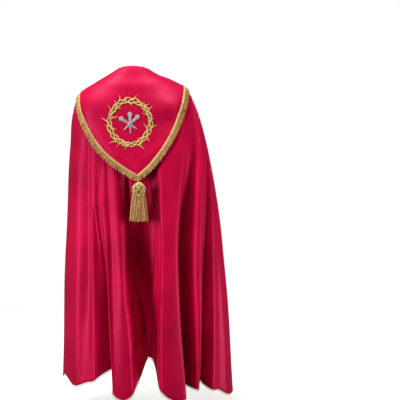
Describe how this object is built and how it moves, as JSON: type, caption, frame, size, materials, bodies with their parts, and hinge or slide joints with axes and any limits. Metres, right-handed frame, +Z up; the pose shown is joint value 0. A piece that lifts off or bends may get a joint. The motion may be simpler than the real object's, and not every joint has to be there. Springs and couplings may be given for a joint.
{
  "type": "cope vestment",
  "caption": "Worn half-circle cope in red satin, with a pointed hood, gold fringe and tassel, hanging in deep folds and open at the front.",
  "frame": {"origin": "middle of the neck opening, where the cloth rests on the wearer", "axes": "+Z up, the wearer faces +Y, so the hood at the back faces -Y, and the wearer's right hand is at +X"},
  "size_m": [0.7152, 0.564, 1.354],
  "materials": {
    "satin": "crimson satin",
    "hood_satin": "crimson satin, interlined",
    "gold_fringe": "gold metallic thread",
    "gold_tassel": "gold metallic thread",
    "gold_piping": "pale gold cord"
  },
  "bodies": {
    "root": {"cope_left": "satin", "cope_right": "satin", "hood": "hood_satin", "hood_fringe": "gold_fringe", "piping": "gold_piping", "clasp_tab": "satin", "tassel": "gold_tassel"}
  },
  "joints": []
}
